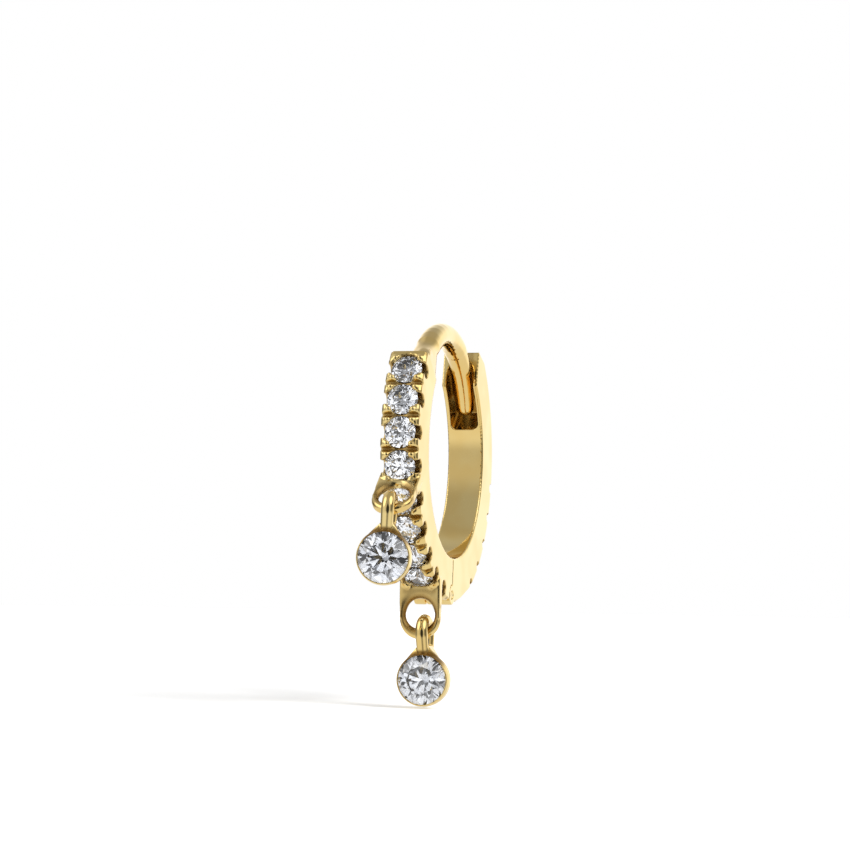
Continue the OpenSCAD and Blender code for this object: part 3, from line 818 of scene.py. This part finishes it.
def back_shaped(points, pairs):
    """The rear half, with painted shade marked in the depth of its catch's slot."""
    sizes = props("earring_hoop")
    points = trued(points, sizes)
    radius, angle = polar(points, sizes)
    inside = (np.abs(points[:, 0]) < sizes.slot_half / MM) & (angle < CATCH_END)
    inside &= radius < sizes.outer_r / MM - SLOT_LIP
    # Painted shade deep in the catch's slot
    slot = inside * step(radius - sizes.inner_r / MM, *SLOT_HEIGHTS) * SLOT_SHADE
    return points, np.maximum(slot, pave_marks(points, sizes, sizes.back_first, BACK_ORDER))


def drop_metal(name, node, body, place, cup_turn, material):
    """One drop's metal: cup, peak and bail fused, set in its place."""
    sizes = props("earring_drop")
    drop = sizes.bail_length + sizes.cup_r
    turn = Matrix.Rotation(cup_turn, 4, "Z")
    core = bmesh.new()
    cup_mesh(core, core_outline(sizes), drop)
    bmesh.ops.transform(core, verts=core.verts, matrix=place @ turn)
    bm = bmesh.new()
    cup_mesh(bm, cup_outline(sizes), drop)
    peak_mesh(bm, sizes, drop)
    bmesh.ops.transform(bm, verts=bm.verts, matrix=turn)
    bail_mesh(bm, sizes)
    bmesh.ops.transform(bm, verts=bm.verts, matrix=place)
    inverse = np.array((place @ turn).inverted())
    inverse[:3, 3] /= MM

    def shape(skin, pairs):
        """Marks painted shade on the front of the peak, under the bail's foot."""
        local = skin @ inverse[:3, :3].T + inverse[:3, 3] + (0, 0, drop / MM)
        radius = np.hypot(local[:, 0], local[:, 2])
        sideways = np.degrees(np.abs(np.arctan2(local[:, 0], local[:, 2])))
        front = step(-local[:, 1], *PEAK_SHADE_AHEAD)
        top = 1 - step(sideways, *PEAK_SHADE_SIDE)
        return skin, front * top * step(radius, *PEAK_SHADE_BEGINS) * (1 - step(radius, *PEAK_SHADE_ENDS))

    look = props("earring_metal")
    bm = cast(bm, look.cup_voxel, look.soften, shape, core)
    return finish_piece(bm, name, material, body, (node,))


class EARRING_OT_front(bpy.types.Operator):
    """Dress the front half: pave band, loops and ear wire"""

    bl_idname = "earring.front"
    bl_label = "Front half"

    def execute(self, context):
        look = props("earring_metal")
        bm = cast(node_copy("front_half"), look.cast_voxel, look.soften, front_shaped)
        finish_piece(bm, "front_metal", gold_material("gold_front"), "front", ("front_half",))
        return {"FINISHED"}


class EARRING_OT_back(bpy.types.Operator):
    """Dress the rear half with its catch"""

    bl_idname = "earring.back"
    bl_label = "Rear half"

    def execute(self, context):
        look = props("earring_metal")
        bm = cast(node_copy("back_half"), look.cast_voxel * BACK_GRAIN, look.soften, back_shaped)
        finish_piece(bm, "back_metal", gold_material("gold_back"), "back", ("back_half",))
        return {"FINISHED"}


class EARRING_OT_pin(bpy.types.Operator):
    """Make the hinge pin with its rounded ends"""

    bl_idname = "earring.pin"
    bl_label = "Hinge pin"

    def execute(self, context):
        sizes = props("earring_hoop")
        low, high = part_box("hinge_pin")
        bm = bmesh.new()
        bmesh.ops.create_cone(
            bm,
            cap_ends=True,
            segments=48,
            radius1=sizes.pin_d / 2,
            radius2=sizes.pin_d / 2,
            depth=high.x - low.x,
            matrix=Matrix.Translation((low + high) / 2) @ Matrix.Rotation(math.pi / 2, 4, "Y"),
        )
        rims = [edge for edge in bm.edges if edge.calc_face_angle(0) > RIM_ANGLE]
        bmesh.ops.bevel(
            bm, geom=rims, offset=sizes.pin_round, affect="EDGES", segments=4, profile=0.5, material=-1
        )
        finish_piece(bm, "pin_metal", gold_material("gold_pin", PIN_DULL), "front", ("hinge_pin",))
        return {"FINISHED"}


class EARRING_OT_drops(bpy.types.Operator):
    """Make the bezel cups and bails of both drops"""

    bl_idname = "earring.drops"
    bl_label = "Drops"

    def execute(self, context):
        sizes = props("earring_drop")
        material = gold_material("gold_drops")
        upper = (
            Matrix.Translation(joint_place("upper_drop_swing"))
            @ Matrix.Rotation(sizes.upper_turn, 4, "Z")
            @ Matrix.Rotation(sizes.upper_lean, 4, "Y")
        )
        lower = (
            Matrix.Translation(joint_place("lower_drop_swing") + Vector((sizes.lower_side, 0, 0)))
            @ Matrix.Rotation(sizes.lower_lean, 4, "Y")
        )
        drop_metal("upper_metal", "upper_setting", "upper_drop", upper, 0.0, material)
        drop_metal("lower_metal", "lower_setting", "lower_drop", lower, sizes.lower_cup_turn, material)
        return {"FINISHED"}


class EARRING_OT_stones(bpy.types.Operator):
    """Give every cut stone its clear material"""

    bl_idname = "earring.stones"
    bl_label = "Stones"

    def execute(self, context):
        small = stone_material("stone_small")
        large = stone_material("stone_large", props("earring_stone").large_pass)
        for name, node in NODES.items():
            if "stone" in name:
                node.data.materials.clear()
                node.data.materials.append(large if name in ("upper_stone", "lower_stone") else small)
        return {"FINISHED"}


class EARRING_OT_stage(bpy.types.Operator):
    """Set up the floor, the light tent, the key light and the camera"""

    bl_idname = "earring.stage"
    bl_label = "Stage"

    def execute(self, context):
        stage = props("earring_stage")
        centre = Vector((0, 0, -props("earring_hoop").centre_drop))
        make_world()
        make_floor(stage)
        make_tent(stage, centre)
        make_light(centre)
        make_camera(stage, centre)
        scene = context.scene
        scene.view_settings.view_transform = "Standard"
        scene.view_settings.look = "None"
        return {"FINISHED"}


def make_world():
    world = bpy.context.scene.world or bpy.data.worlds.new("studio")
    bpy.context.scene.world = world
    world.use_nodes = True
    shader = Shader(world.node_tree)
    back = shader.node("ShaderNodeBackground", Color=(1.0, 1.0, 1.0, 1.0), Strength=1.0)
    output = shader.node("ShaderNodeOutputWorld")
    shader.plug(output.inputs["Surface"], back.outputs[0])


def stage_piece(bm, name, material):
    mesh = bpy.data.meshes.new(name)
    bm.to_mesh(mesh)
    bm.free()
    piece = bpy.data.objects.new(name, mesh)
    bpy.context.scene.collection.objects.link(piece)
    piece.data.materials.append(material)
    return piece


# The floor: its tone, its glow near the hoop, what the glow gains farther off, and the distances in metres
# between which it gains that
FLOOR_TONE = 0.85
FLOOR_GLOW = 0.25
FLOOR_GAIN = 0.4
FLOOR_SPAN = (0.012, 0.05)


def make_floor(stage):
    """A pale matt floor just under the lowest drop."""
    material, shader = new_material("floor")
    matt = shader.node("ShaderNodeBsdfDiffuse", Color=(FLOOR_TONE, FLOOR_TONE, FLOOR_TONE, 1.0))
    spread = shader.node("ShaderNodeVectorMath", {"operation": "LENGTH"})
    shader.plug(spread.inputs[0], shader.node("ShaderNodeTexCoord").outputs["Object"])
    distance = Value(shader, spread.outputs["Value"])
    far = shader.span(distance, *FLOOR_SPAN)
    glow = shader.node("ShaderNodeEmission", Strength=far * FLOOR_GAIN + FLOOR_GLOW)
    surface = shader.node("ShaderNodeAddShader")
    shader.plug(surface.inputs[0], matt.outputs[0])
    shader.plug(surface.inputs[1], glow.outputs[0])
    output = shader.node("ShaderNodeOutputMaterial")
    shader.plug(output.inputs["Surface"], surface.outputs[0])
    bm = bmesh.new()
    place = Matrix.Translation((0, 0, LOWEST - stage.floor_gap))
    bmesh.ops.create_circle(bm, cap_ends=True, radius=stage.tent_r * 0.95, segments=96, matrix=place)
    floor = stage_piece(bm, "floor", material)
    floor.visible_glossy = False


# The key light: its place from the hoop's centre and its side in metres, and its watts
KEY_OFFSET = (0.090, -0.050, 0.056)
KEY_SIDE = 0.045
KEY_POWER = 0.12
# The tent's light round the horizon: azimuth from the front, towards +X, and strength
TENT_RING = (
    (-180, 1.15),
    (-150, 1.10),
    (-130, 0.30),
    (-100, 0.12),
    (-80, 0.45),
    (-55, 0.78),
    (-20, 0.60),
    (-4, 0.50),
    (8, 0.05),
    (22, 0.05),
    (34, 0.75),
    (52, 0.85),
    (68, 0.25),
    (104, 0.12),
    (130, 0.80),
    (155, 1.15),
    (180, 1.15),
)
# The tent's light above and below: sines of the heights at which it begins and is full, and strength
TENT_TOP = (0.3, 0.75, 0.40)
TENT_BOTTOM = (0.08, 0.35, 0.82)
# Spots of the tent: azimuth and elevation, where a spot ends and is full, and its strength
TENT_SPOTS = (
    (-114, 44, 32, 8, 0.62),
    (-62, 36, 28, 17, 1.6),
    (78, 42, 28, 17, 1.6),
    (19, -1, 35, 15, 0.03),
)


def make_tent(stage, centre):
    """A light tent that the camera looks through: white behind, greyer in front, with a dark lens."""
    material, shader = new_material("tent")
    place = shader.node("ShaderNodeTexCoord").outputs["Object"]
    unit = shader.node("ShaderNodeVectorMath", {"operation": "NORMALIZE"})
    shader.plug(unit.inputs[0], place)
    parts = shader.node("ShaderNodeSeparateXYZ", Vector=unit.outputs[0])
    x, y, z = (Value(shader, parts.outputs[axis]) for axis in ("X", "Y", "Z"))
    turned = shader.math("ARCTAN2", x, 0 - y) * (0.5 / math.pi) + 0.5
    ring = shader.node(
        "ShaderNodeValToRGB",
        {"stops": [(azimuth / 360 + 0.5, (strength / 2,) * 3) for azimuth, strength in TENT_RING]},
        Fac=turned,
    )
    ring.color_ramp.interpolation = "EASE"
    light = Value(shader, ring.outputs["Color"]) * 2
    for height, (begins, full, strength) in ((z, TENT_TOP), (0 - z, TENT_BOTTOM)):
        light = light + shader.span(height, begins, full) * (strength - light)
    for azimuth, elevation, wide, near, strength in TENT_SPOTS:
        spot = shader.node("ShaderNodeVectorMath", {"operation": "DOT_PRODUCT"})
        shader.plug(spot.inputs[0], unit.outputs[0])
        turn, rise = math.radians(azimuth), math.radians(elevation)
        spot.inputs[1].default_value = (
            math.sin(turn) * math.cos(rise),
            -math.cos(turn) * math.cos(rise),
            math.sin(rise),
        )
        share = shader.span(
            Value(shader, spot.outputs["Value"]), math.cos(math.radians(wide)), math.cos(math.radians(near))
        )
        light = light + share * (strength - light)
    glow = shader.node("ShaderNodeEmission", Strength=light)
    output = shader.node("ShaderNodeOutputMaterial")
    shader.plug(output.inputs["Surface"], glow.outputs[0])
    material.cycles.emission_sampling = "NONE"
    bm = bmesh.new()
    bmesh.ops.create_icosphere(bm, subdivisions=5, radius=stage.tent_r)
    bmesh.ops.reverse_faces(bm, faces=bm.faces)
    tent = stage_piece(bm, "tent", material)
    tent.location = centre
    tent.visible_camera = False
    tent.visible_shadow = False


def make_light(centre):
    """A soft box aimed at the hoop, which only casts the shadow."""
    offset = Vector(KEY_OFFSET)
    lamp = bpy.data.lights.new("key", "AREA")
    lamp.shape = "SQUARE"
    lamp.size = KEY_SIDE
    lamp.energy = KEY_POWER
    key = bpy.data.objects.new("key", lamp)
    bpy.context.scene.collection.objects.link(key)
    key.location = centre + offset
    key.visible_glossy = False
    key.visible_transmission = False
    key.rotation_euler = (-offset).to_track_quat("-Z", "Y").to_euler()


def make_camera(stage, centre):
    """The photograph's camera: its direction, distance and framing."""
    back = Vector(
        (
            math.sin(stage.azimuth) * math.cos(stage.elevation),
            -math.cos(stage.azimuth) * math.cos(stage.elevation),
            math.sin(stage.elevation),
        )
    )
    right = Vector((math.cos(stage.azimuth), math.sin(stage.azimuth), 0))
    up = back.cross(right)
    turned_right = math.cos(stage.roll) * right + math.sin(stage.roll) * up
    turned_up = math.cos(stage.roll) * up - math.sin(stage.roll) * right
    data = bpy.data.cameras.new("camera")
    data.sensor_width = 36.0
    data.lens = data.sensor_width * stage.focal * (stage.distance / MM) / stage.image
    data.shift_x = (stage.image / 2 - stage.centre_x) / stage.image
    data.shift_y = (stage.centre_y - stage.image / 2) / stage.image
    data.clip_start = 0.001
    data.clip_end = 10.0
    camera = bpy.data.objects.new("camera", data)
    bpy.context.scene.collection.objects.link(camera)
    place = centre + back * stage.distance
    basis = Matrix((turned_right, turned_up, back)).transposed().to_4x4()
    camera.matrix_world = Matrix.Translation(place) @ basis
    bpy.context.scene.camera = camera


class EARRING_PT_panel(bpy.types.Panel):
    """Buttons for each piece and the stage"""

    bl_idname = "EARRING_PT_panel"
    bl_label = "Earring"
    bl_space_type = "VIEW_3D"
    bl_region_type = "UI"
    bl_category = "Earring"

    def draw(self, context):
        for operator in OPERATORS:
            self.layout.operator(operator.bl_idname)
        for group in GROUPS:
            box = self.layout.box()
            settings = props(group)
            for key in GROUPS[group].__annotations__:
                box.prop(settings, key)


GROUPS = {
    "earring_metal": MetalLook,
    "earring_stone": StoneLook,
    "earring_drop": DropSizes,
    "earring_hoop": HoopSizes,
    "earring_stage": StageSizes,
}
OPERATORS = (
    EARRING_OT_front,
    EARRING_OT_back,
    EARRING_OT_pin,
    EARRING_OT_drops,
    EARRING_OT_stones,
    EARRING_OT_stage,
)
CLASSES = (*GROUPS.values(), *OPERATORS, EARRING_PT_panel)


def register():
    for cls in CLASSES:
        bpy.utils.register_class(cls)
    for name, cls in GROUPS.items():
        setattr(bpy.types.Scene, name, PointerProperty(type=cls))


def unregister():
    for name in GROUPS:
        delattr(bpy.types.Scene, name)
    for cls in reversed(CLASSES):
        bpy.utils.unregister_class(cls)


def main():
    register()
    bpy.ops.earring.front()
    bpy.ops.earring.back()
    bpy.ops.earring.pin()
    bpy.ops.earring.drops()
    bpy.ops.earring.stones()
    bpy.ops.earring.stage()


if __name__ == "__main__":
    main()
